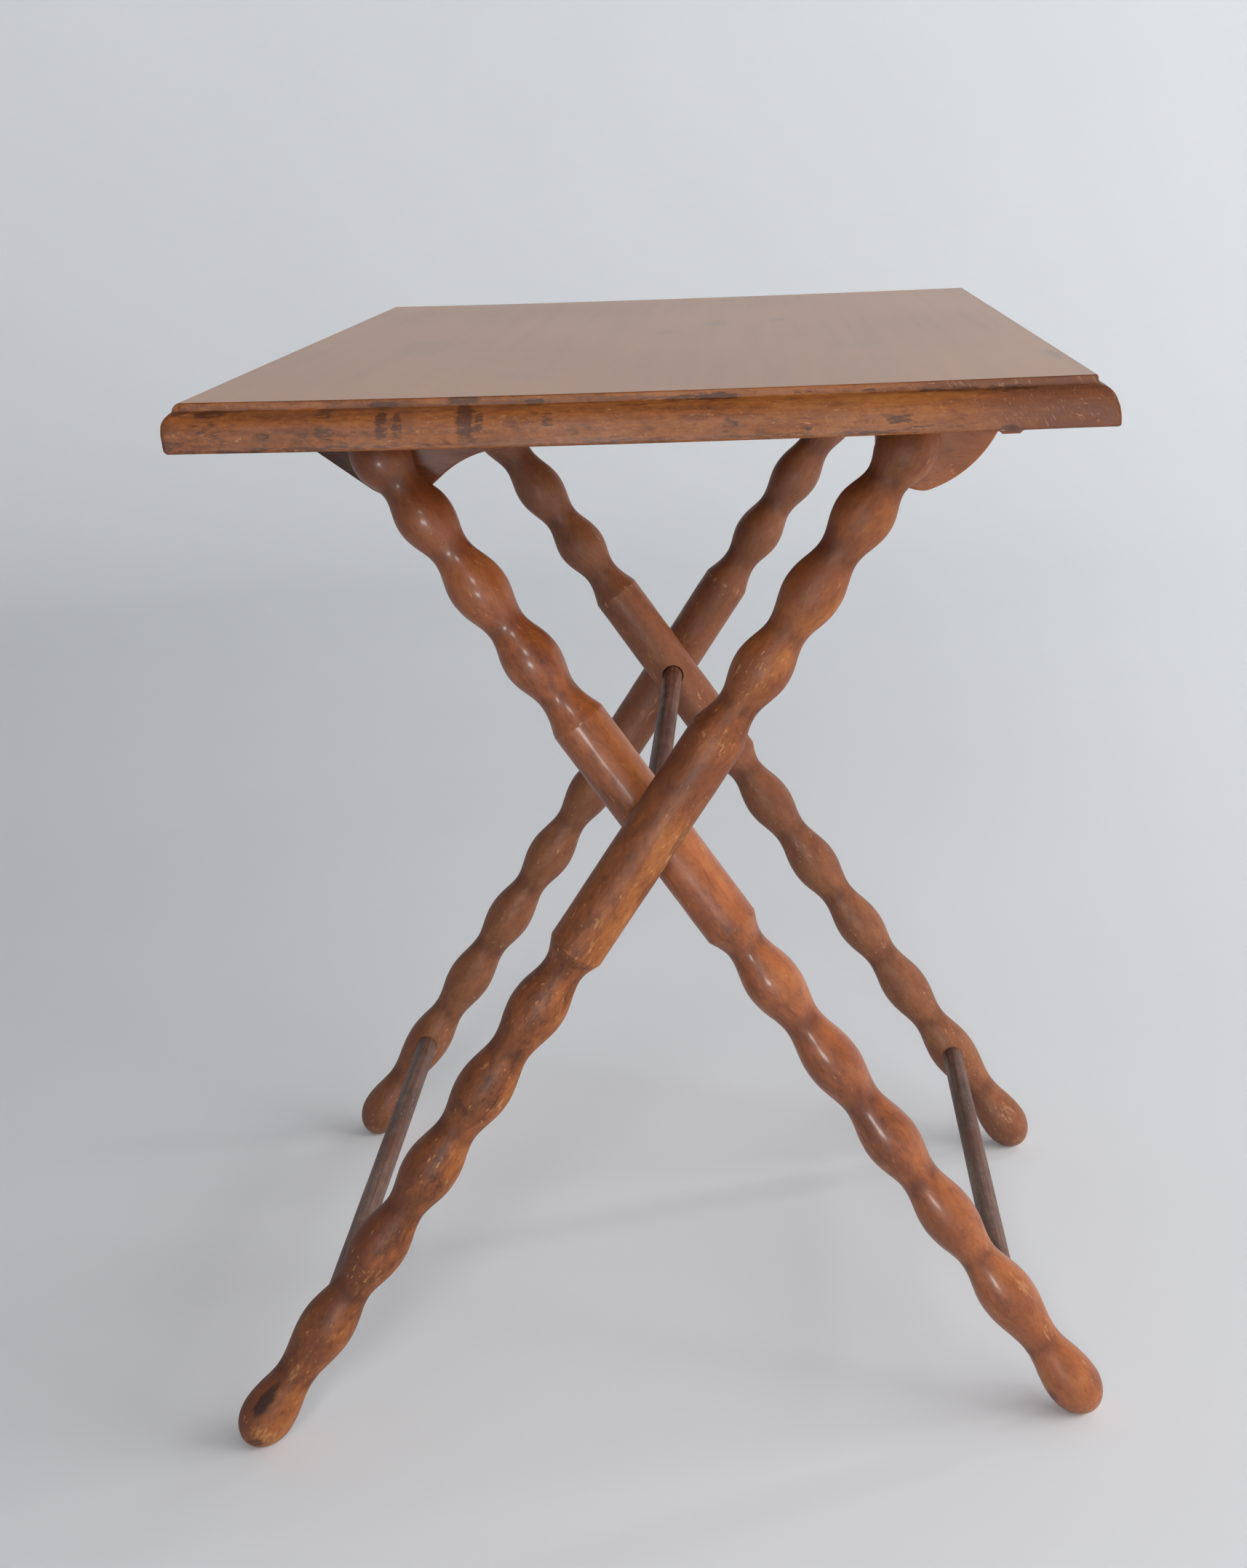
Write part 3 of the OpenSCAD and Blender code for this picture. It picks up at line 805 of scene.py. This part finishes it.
pivot_outline = [(-18.3, 0), (49, 0)] + arc(-9.5, 10.5, 59.5, -11, -73, 24) + arc(7.6, -21.2, 25.5, -94, -174, 20)
catch_outline = (arc(-2, -19.5, 27.5, -90, -48, 12) + arc(56, -76.4, 53.5, 131, 100, 12)
                 + [(58, -21.8), (59.5, -20.6), (60, -19.5), (60, 0), (-60, 0), (-60, -9), (-59, -11.4), (-56.5, -13.4)]
                 + arc(-2, -19.5, 27.5, -128, -93, 10))
CATCH_X = catch.x + 12.5 * MM
SCREWS_P = (-11.8, 23.7)
SCREWS_C = (-32.0, 29.0)
screw_spots = []
for side in (-1, 1):
    which = "front" if side < 0 else "rear"
    lo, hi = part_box("pivot_lug_" + which)
    y0, y1 = lo.y, hi.y
    ym = (y0 + y1) / 2

    def well(x, y):
        v, f = lathe([(under_z - 0.2, 3.9 * MM), (560.0 * MM, 3.9 * MM)],
                     lambda s, u, w: Vector((x + u, y + w, s)), 32)
        return v, f

    cuts = [cylinder_y("cut", arm.x, arm.z, rod_r + 0.12 * MM, y0 - 0.01, y1 + 0.01)]
    for x in (arm.x + SCREWS_P[0] * MM, arm.x + SCREWS_P[1] * MM):
        v, f = well(x, ym)
        c = to_object("cut", v, f)
        orient(c)
        cuts.append(c)
        screw_spots.append((x, ym))
    make_lug("pivot_lug_" + which, pivot_outline, arm.x, cuts, side)
    lo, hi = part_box("catch_lug_" + which)
    y0, y1 = lo.y, hi.y
    ym = (y0 + y1) / 2
    cuts = [cylinder_y("cut", catch.x, catch.z, 7.0 * MM, y0 - 0.01, y1 + 0.01)]
    lean_s = math.radians(28.6)
    down = Vector((math.sin(lean_s), 0, -math.cos(lean_s)))
    across = Vector((math.cos(lean_s), 0, math.sin(lean_s)))
    sv = []
    for y in (y0 - 0.01, y1 + 0.01):
        for a, b in ((-7.9, 0), (7.0, 0), (7.0, 60), (-7.9, 60)):
            p = Vector((catch.x, y, catch.z)) + across * (a * MM) + down * (b * MM)
            sv.append(p)
    c = to_object("cut", sv, [(0, 1, 2, 3), (7, 6, 5, 4), (0, 4, 5, 1), (1, 5, 6, 2), (2, 6, 7, 3), (3, 7, 4, 0)])
    orient(c)
    cuts.append(c)
    for x in (catch.x - 19.5 * MM, catch.x + 41.5 * MM):
        v, f = well(x, ym)
        c = to_object("cut", v, f)
        orient(c)
        cuts.append(c)
        screw_spots.append((x, ym))
    make_lug("catch_lug_" + which, catch_outline, CATCH_X, cuts, side + 5)

# ---------------------------------------------------------------- screws
s_lo, s_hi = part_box("lug_screws")
sv, sf = [], []
for i, (x, y) in enumerate(screw_spots):
    turn = i * 1.1
    head = s_lo.z + 0.1 * MM
    prof = [(0.0, 3.0), (0.25, 3.55), (0.5, 3.6), (1.0, 3.3), (2.6, 1.75)]
    z = 2.6
    while z < 31:
        prof += [(z + 0.5, 1.32), (z + 1.0, 1.75), (z + 1.15, 1.75)]
        z += 1.5
    prof += [(33.5, 1.2), (36.0, 0.5), (37.4, 0.12)]
    v, f = lathe([(head + s * MM, r * MM) for s, r in prof], lambda s, u, w: Vector((x + u, y + w, s)), 28)
    o = to_object("one", v, f)
    orient(o)
    # the slot for the driver
    ca, sa = math.cos(turn), math.sin(turn)
    bx = []
    for zz in (head - 1 * MM, head + 0.95 * MM):
        for a, b in ((-5, -0.45), (5, -0.45), (5, 0.45), (-5, 0.45)):
            bx.append(Vector((x + (a * ca - b * sa) * MM, y + (a * sa + b * ca) * MM, zz)))
    c = to_object("cut", bx, [(0, 1, 2, 3), (7, 6, 5, 4), (0, 4, 5, 1), (1, 5, 6, 2), (2, 6, 7, 3), (3, 7, 4, 0)])
    orient(c)
    cut(o, [c])
    base = len(sv)
    sv += [v.co.copy() for v in o.data.vertices]
    sf += [tuple(base + k for k in p.vertices) for p in o.data.polygons]
    me = o.data
    bpy.data.objects.remove(o)
    bpy.data.meshes.remove(me)
screws = to_object("lug_screws_slotted", sv, sf)
orient(screws)
shade(screws, 34)
give(screws, screw_mat, "screw_steel", "top", "lug_screws")


# ---------------------------------------------------------------- board
# how far out from the arris, and how far down, in mm: a fillet, a small cove, and a long ovolo
EDGE = [(0, 0), (0.35, 0.06), (0.8, 0.35), (1.05, 0.85), (1.15, 1.5), (1.2, 2.4), (1.25, 3.2), (1.55, 3.85), (2.2, 4.2)]
for k in range(1, 13):
    u = k / 12.0
    EDGE.append((2.2 + 8.2 * (1 - (1 - u) ** 2.1) ** 0.68, 4.2 + 16.0 * u ** 1.25))
EDGE += [(10.35, 21.1), (10.1, 21.6), (9.6, 22.0)]
OUT, OUT_LEFT = 10.4, 8.6
bx0, bx1 = top_lo.x + OUT_LEFT * MM, top_hi.x - OUT * MM
by0, by1 = top_lo.y + OUT * MM, top_hi.y - OUT * MM


def lines(a, b, n):
    """Grid lines from a to b, closer at the two ends so that a corner can be rounded."""
    near = [0.0, 0.0004, 0.0008, 0.0013, 0.0019, 0.0028, 0.004, 0.006, 0.009]
    mid = [near[-1] + (b - a - 2 * near[-1]) * k / n for k in range(1, n)]
    return [a + t for t in near + mid] + [b - t for t in reversed(near)]


gx = lines(bx0, bx1, 300)
gy = lines(by0, by1, 110)
nx, ny = len(gx) - 1, len(gy) - 1
cx, cy = (bx0 + bx1) / 2, (by0 + by1) / 2


ZONE = 9 * MM


def offset_point(i, j, left, right, across, rc):
    """Where border point (i, j) goes on the rectangle moved out by left and right along X and by across
    along Y, with its corners rounded to rc."""
    x, y = gx[i], gy[j]
    x0, x1, y0, y1 = bx0 - left, bx1 + right, by0 - across, by1 + across
    sx = 1 if x > cx else -1
    sy = 1 if y > cy else -1
    dx = min(x - bx0, bx1 - x)
    dy = min(y - by0, by1 - y)
    ex = x0 if sx < 0 else x1
    ey = y0 if sy < 0 else y1
    gone_x = (left if sx < 0 else right)
    # distance from the moved corner, measured along the side that the point is on
    if j in (0, ny):
        along = dx + gone_x * smooth_less(dx)
        if along < rc:
            t = math.pi / 4 * (1 - along / rc)
            return ex - sx * (rc - rc * math.sin(t)), ey - sy * rc * (1 - math.cos(t))
        return ex - sx * along, ey
    along = dy + across * smooth_less(dy)
    if along < rc:
        t = math.pi / 4 * (1 - along / rc)
        return ex - sx * rc * (1 - math.cos(t)), ey - sy * (rc - rc * math.sin(t))
    return ex, ey - sy * along


def smooth_less(d):
    """0 at the corner, 1 from ZONE on: how much of the move is behind a point."""
    return min(1.0, d / ZONE)


def sag(x, y):
    """The board has cupped a little: its middle lies lower than its long edges."""
    u = (x - cx) / (bx1 - cx)
    v = (y - cy) / (by1 - cy)
    return -0.95 * MM * (1 - min(1.0, abs(u)) ** 2) - 0.18 * MM * (1 + math.sin(v * 4.0 + u * 1.3)) * (1 - min(1.0, abs(u)) ** 2)


def worn_left(drop):
    """The left moulding at its front end, where it has been knocked and rubbed."""
    pts = [(0, 0), (0.5, 1.3), (1.9, 2.8), (4.0, 3.4), (4.8, 4.4), (6.2, 5.9), (7.8, 6.9), (9.3, 7.35), (13.1, 7.4),
           (15.2, 7.2), (16.2, 6.9), (19.3, 6.8), (20.8, 6.4), (22.0, 5.3)]
    for (a, ra), (b, rb) in zip(pts[:-1], pts[1:]):
        if drop <= b:
            return ra + (rb - ra) * (drop - a) / (b - a)
    return pts[-1][1]


border = ([(i, 0) for i in range(nx)] + [(nx, j) for j in range(ny)]
          + [(i, ny) for i in range(nx, 0, -1)] + [(0, j) for j in range(ny, 0, -1)])
verts, faces, info = [], [], []


def add(p, tag):
    verts.append(p)
    info.append(tag)
    return len(verts) - 1


grid = {}
for j in range(ny + 1):
    for i in range(nx + 1):
        x, y = gx[i], gy[j]
        z = top_z + sag(x, y)
        if i in (0, nx) or j in (0, ny):
            x, y = offset_point(i, j, 0.0, 0.0, 0.0, 0.8 * MM)
        grid[i, j] = add(Vector((x, y, z)), 0.0)
for j in range(ny):
    for i in range(nx):
        faces.append((grid[i, j], grid[i + 1, j], grid[i + 1, j + 1], grid[i, j + 1]))
rings = [[grid[b] for b in border]]
for out, drop in EDGE[1:]:
    ring = []
    for (i, j) in border:
        x, y = gx[i], gy[j]
        nyv = -1 if j == 0 else (1 if j == ny else 0)
        # a worn arris: the edge wanders a little, always inward
        q = Vector((x * 42, y * 42, drop * 0.5))
        w = 0.08 * (1 + noise.noise(q)) + 0.30 * max(0.0, noise.noise(q * 2.7) - 0.25)
        w *= smooth(0.3, 1.6, out)
        # the left moulding is worn away low down at its front end
        end = smooth(0.13, 0.02, y - by0)
        left = max(0.0, out * OUT_LEFT / OUT - w)
        left += end * (worn_left(drop) - left)
        px, py = offset_point(i, j, left * MM, (out - w) * MM, (out - w) * MM, (0.7 + 0.09 * out) * MM)
        z = top_z - drop * MM + sag(x, y)
        # a run of old finish hangs under the arris near the right end of the front
        if nyv < 0 and drop > 19:
            e = abs(x - (cx + 0.1672)) / 0.0056
            z -= 1.4 * MM * (1 - smooth(0.72, 1.0, e)) * smooth(19.5, 21.9, drop)
        ring.append(add(Vector((px, py, z)), out))
    rings.append(ring)
for a, b in zip(rings[:-1], rings[1:]):
    for k in range(len(a)):
        k2 = (k + 1) % len(a)
        faces.append((a[k], b[k], b[k2], a[k2]))
# underside
last = rings[-1]
under = {}
for k, (i, j) in enumerate(border):
    under[i, j] = last[k]
for j in range(1, ny):
    for i in range(1, nx):
        x, y = gx[i], gy[j]
        under[i, j] = add(Vector((x, y, under_z + sag(x, y))), 99.0)
for j in range(ny):
    for i in range(nx):
        faces.append((under[i, j], under[i, j + 1], under[i + 1, j + 1], under[i + 1, j]))
board = to_object("table_top_moulded", verts, faces)
bm = bmesh.new()
bm.from_mesh(board.data)
bmesh.ops.recalc_face_normals(bm, faces=bm.faces)
bm.to_mesh(board.data)
bm.free()
shade(board, 24)

# marks on the moulded edge: (kind, x from the middle, how far down the edge, half width, half height, strength)
front_marks = [
    ("dirt", -0.1905, 5.0, 0.0085, 1.5, 0.80), ("dirt", -0.204, 4.6, 0.0060, 1.2, 0.50),
    ("dirt", -0.191, 12.0, 0.0060, 4.6, 0.52), ("dirt", -0.1665, 15.4, 0.0050, 1.5, 0.72),
    ("dirt", -0.138, 14.6, 0.0050, 3.4, 0.66), ("dirt", -0.138, 6.4, 0.0052, 2.4, 0.60),
    ("dirt", -0.112, 11.6, 0.0030, 6.6, 0.98), ("dirt", -0.105, 12.4, 0.0026, 5.4, 0.82),
    ("dirt", -0.111, 3.6, 0.0080, 1.6, 0.85), ("dirt", -0.0745, 11.0, 0.0042, 8.2, 1.00),
    ("dirt", -0.068, 12.0, 0.0020, 5.4, 0.70), ("dirt", -0.075, 2.4, 0.0080, 2.0, 0.85),
    ("dirt", -0.073, 19.6, 0.0050, 1.8, 0.60), ("dirt", -0.0435, 4.2, 0.0055, 1.8, 0.72),
    ("dirt", -0.037, 12.6, 0.0028, 5.0, 0.62), ("dirt", -0.0415, 9.2, 0.0060, 1.6, 0.45),
    ("dirt", -0.056, 14.0, 0.0100, 1.0, 0.40), ("dirt", -0.025, 14.6, 0.0100, 1.0, 0.36),
    ("dirt", 0.0235, 4.4, 0.0200, 1.3, 0.72), ("dirt", 0.038, 4.2, 0.0100, 1.7, 0.85),
    ("dirt", 0.044, 17.0, 0.0040, 4.4, 0.55), ("dirt", 0.077, 17.4, 0.0034, 4.4, 0.50),
    ("dirt", 0.078, 3.6, 0.0060, 1.6, 0.50), ("dirt", 0.118, 15.8, 0.0066, 2.4, 0.88),
    ("dirt", 0.100, 16.6, 0.0060, 1.4, 0.40), ("dirt", 0.112, 4.0, 0.0120, 1.2, 0.55),
    ("dirt", 0.140, 4.2, 0.0160, 1.2, 0.70), ("dirt", 0.168, 4.4, 0.0140, 1.3, 0.75),
    ("dirt", 0.135, 19.6, 0.0130, 1.4, 0.60), ("dirt", -0.2085, 19.0, 0.0090, 4.0, 0.50),
    ("dirt", -0.150, 21.4, 0.0600, 1.2, 0.70), ("dirt", -0.132, 20.4, 0.0060, 1.6, 0.50),
    ("dirt", -0.005, 21.2, 0.0260, 1.5, 0.62), ("dirt", -0.090, 21.0, 0.0200, 1.4, 0.50),
    ("dirt", 0.090, 21.4, 0.0500, 1.1, 0.55), ("dirt", 0.167, 21.6, 0.0060, 1.2, 0.75),
    ("pale", 0.164, 2.4, 0.0014, 2.6, 0.44),
    ("pale", 0.170, 2.6, 0.0012, 2.6, 0.44),
    ("pale", -0.0545, 11.0, 0.0060, 2.6, 0.34), ("pale", 0.167, 22.0, 0.0060, 0.8, 0.45),
    ("pale", -0.012, 10.6, 0.0100, 1.2, 0.28),
]
top_marks = [
    ("dirt", 0.033, 0.070, 0.011, 0.034, 0.55), ("dirt", 0.071, 0.083, 0.009, 0.030, 0.50),
    ("dirt", 0.005, 0.008, 0.010, 0.030, 0.40), ("dirt", -0.130, -0.050, 0.030, 0.080, 0.26),
    ("dirt", 0.1995, -0.215, 0.006, 0.034, 0.80), ("dirt", -0.060, -0.230, 0.020, 0.050, 0.22),
    ("dirt", 0.110, -0.120, 0.030, 0.060, 0.18),
]
wv, hv, pv, dv, av, cv = [], [], [], [], [], []
for k, v in enumerate(board.data.vertices):
    x, y, z = v.co
    drop = (top_z - z) / MM
    tag = info[k]
    rim = 0 < tag < 90
    across = rim and min(y - top_lo.y, top_hi.y - y) < min(x - top_lo.x, top_hi.x - x)
    # the grain runs along the board, Y; the front and rear mouldings show it as level streaks
    wv.append((z - top_z, y, x) if across else (x, z - top_z, y))
    hollow = pale = dirt = aged_and_shade = 0.0
    if rim:
        # painted shade: a dark line along the cove, about 4 mm below the arris
        hollow = max(0.0, 1 - abs(drop - 4.3) / 1.3) * (0.7 + 0.9 * max(0.0, fbm(Vector((x * 16, y * 16, 9.0)), 2)))
        pale = 0.22 * max(0.0, 1 - abs(drop - 0.9) / 1.2) + 0.22 * max(0.0, 1 - abs(drop - 21.4) / 0.9)
    if rim and across and y < cy:
        for kind, mx, md, hw, hh, st in front_marks:
            e = ((abs(x - cx - mx) / hw) ** 3 + (abs(drop - md) / hh) ** 3) ** (1 / 3)
            q = st * (1 - smooth(0.6, 1.25, e))
            if kind == "pale":
                pale = max(pale, q)
            else:
                dirt = max(dirt, q)
        aged_and_shade = smooth(0.135, 0.185, x - cx) + 0.8 * smooth(-0.196, -0.212, x - cx) * smooth(8, 17, drop)
        aged_and_shade = max(aged_and_shade, 0.75 * smooth(0.10, 0.15, x - cx) * smooth(6.0, 3.5, drop))
    elif rim:
        n = fbm(Vector((x * 30, y * 30, 3.0)), 3)
        dirt = max(dirt, 0.9 * smooth(0.22, 0.55, n) * (0.4 + 0.6 * smooth(6, 0, abs(drop - 4))))
        aged_and_shade = smooth(0.0, 0.3, fbm(Vector((x * 9, y * 9, 7.0)), 2))
        if x > cx and not across:
            aged_and_shade = max(aged_and_shade, 0.8)
    if tag == 0.0:
        for kind, mx, my, hw, hh, st in top_marks:
            q = st * (1 - smooth(0.2, 1.0, math.hypot((x - cx - mx) / hw, (y - my) / hh)))
            dirt = max(dirt, q)
        ex = min(x - bx0, bx1 - x, y - by0, by1 - y) / MM
        pale = max(pale, 0.14 * smooth(2.5, 0, ex))
    hv.append(hollow)
    pv.append(pale)
    dv.append(dirt)
    av.append(min(1.0, aged_and_shade))
    cv.append(1.0 if tag == 0.0 else 0.0)
attribute(board, "wood", "FLOAT_VECTOR", wv)
attribute(board, "hollow", "FLOAT", hv)
attribute(board, "pale", "FLOAT", pv)
attribute(board, "dirt", "FLOAT", dv)
attribute(board, "aged_and_shade", "FLOAT", av)
attribute(board, "calm", "FLOAT", cv)
give(board, board_mat, "board_wood", "top", "table_top")

# ---------------------------------------------------------------- stage
floor_m = Nodes("pale_floor")
tc = floor_m.new("ShaderNodeTexCoord").outputs["Object"]
fn = floor_m.noise(floor_m.vec("MULTIPLY", tc, (3, 3, 3)), 1.0, 3.0, 0.5)
floor_col = floor_m.mix(fn, (0.768, 0.784, 0.806), (0.795, 0.81, 0.832))
# the wall is grey to the left and in front, so that the light has a direction
xyz = floor_m.new("ShaderNodeSeparateXYZ")
floor_m.put(xyz.inputs[0], tc)
turn = floor_m.math("ADD", xyz.outputs[1], floor_m.math("MULTIPLY", xyz.outputs[0], 0.5))
grey = floor_m.math("MULTIPLY", floor_m.step(turn, 2.0, -1.2), floor_m.step(xyz.outputs[2], 0.05, 0.9))
floor_col = floor_m.mix(grey, floor_col, (0.36, 0.365, 0.37))
floor_mat = floor_m.finish(floor_col, 0.85, floor_m.bump(fn, 0.0002), specular=0.0)
# a round floor that sweeps up into a wall, open above
sweep = [(0.25 * k, 0.0) for k in range(11)]
sweep += [(2.5 + 1.3 * math.sin(math.radians(t)), 1.3 * (1 - math.cos(math.radians(t)))) for t in range(6, 91, 6)]
sweep += [(3.8, 1.3 + 0.3 * k) for k in range(1, 8)]
N = 96
fv, ff = [Vector((0, 0, 0))], []
for r, z in sweep[1:]:
    for k in range(N):
        a = 2 * math.pi * k / N
        fv.append(Vector((r * math.cos(a), r * math.sin(a), z)))
for k in range(N):
    ff.append((0, 1 + k, 1 + (k + 1) % N))
for i in range(len(sweep) - 2):
    for k in range(N):
        a, b = 1 + i * N + k, 1 + i * N + (k + 1) % N
        ff.append((a, a + N, b + N, b))
floor = to_object("floor", fv, ff)
for f in floor.data.polygons:
    f.use_smooth = True
floor.data.materials.append(floor_mat)

world = bpy.data.worlds.new("studio")
bpy.context.scene.world = world
world.use_nodes = True
wt = world.node_tree
wt.nodes.clear()
wo = wt.nodes.new("ShaderNodeOutputWorld")
bg = wt.nodes.new("ShaderNodeBackground")
bg.inputs["Color"].default_value = (0.96, 0.98, 1.0, 1)
bg.inputs["Strength"].default_value = 0.17
wt.links.new(bg.outputs[0], wo.inputs[0])


def area(name, at, to, size, power, colour=(1, 1, 1), size_y=None):
    l = bpy.data.lights.new(name, "AREA")
    l.energy, l.color, l.size = power, colour, size
    if size_y:
        l.shape, l.size_y = "RECTANGLE", size_y
    o = bpy.data.objects.new(name, l)
    o.location = at
    o.rotation_euler = (Vector(to) - Vector(at)).to_track_quat("-Z", "Y").to_euler()
    o.visible_camera = False
    bpy.context.scene.collection.objects.link(o)
    return o


# the two big panes light the wood but do not show in it
for pane in (area("window_front", (2.0, -2.3, 1.6), (0, 0, 0.30), 3.0, 50, (1.0, 0.995, 0.985), 2.3),
             area("window_right", (3.0, -0.3, 1.3), (-0.2, 0.6, 0.40), 2.4, 62, (1.0, 0.995, 0.985), 1.8)):
    pane.visible_glossy = False
area("lamp_front", (-0.15, -2.8, 1.50), (0, 0, 0.35), 0.50, 20, (1.0, 0.99, 0.98), 0.50)
# a low pane that only shows as a gleam on the polished beads
gleam = area("low_pane", (-0.08, -2.1, 0.16), (0.05, 0, 0.30), 0.44, 13, (1.0, 1.0, 1.0), 0.30)
gleam.visible_diffuse = False
area("wall_wash", (2.0, 1.5, 2.5), (1.1, 3.8, 0.9), 1.6, 28, (1.0, 1.0, 1.0), 0.6)

# ---------------------------------------------------------------- camera
cam_data = bpy.data.cameras.new("camera")
cam = bpy.data.objects.new("camera", cam_data)
bpy.context.scene.collection.objects.link(cam)
bpy.context.scene.camera = cam
cam_data.lens = 3024.0 / 2156 * 36
cam_data.sensor_width = 36
cam_data.clip_start, cam_data.clip_end = 0.05, 200
yaw, pitch, roll = (math.radians(a) for a in (-3.726, 15.913, 2.183))
fwd = Vector((math.sin(yaw) * math.cos(pitch), math.cos(yaw) * math.cos(pitch), -math.sin(pitch)))
right = Vector((math.cos(yaw), -math.sin(yaw), 0))
down = fwd.cross(right)
r2 = right * math.cos(roll) + down * math.sin(roll)
d2 = down * math.cos(roll) - right * math.sin(roll)
m3 = Matrix((r2, -d2, -fwd)).transposed()
cam.matrix_world = Matrix.Translation(Vector((59.11, -1310.88, 705.7)) * MM) @ m3.to_4x4()

bpy.context.scene.view_settings.view_transform = "Standard"
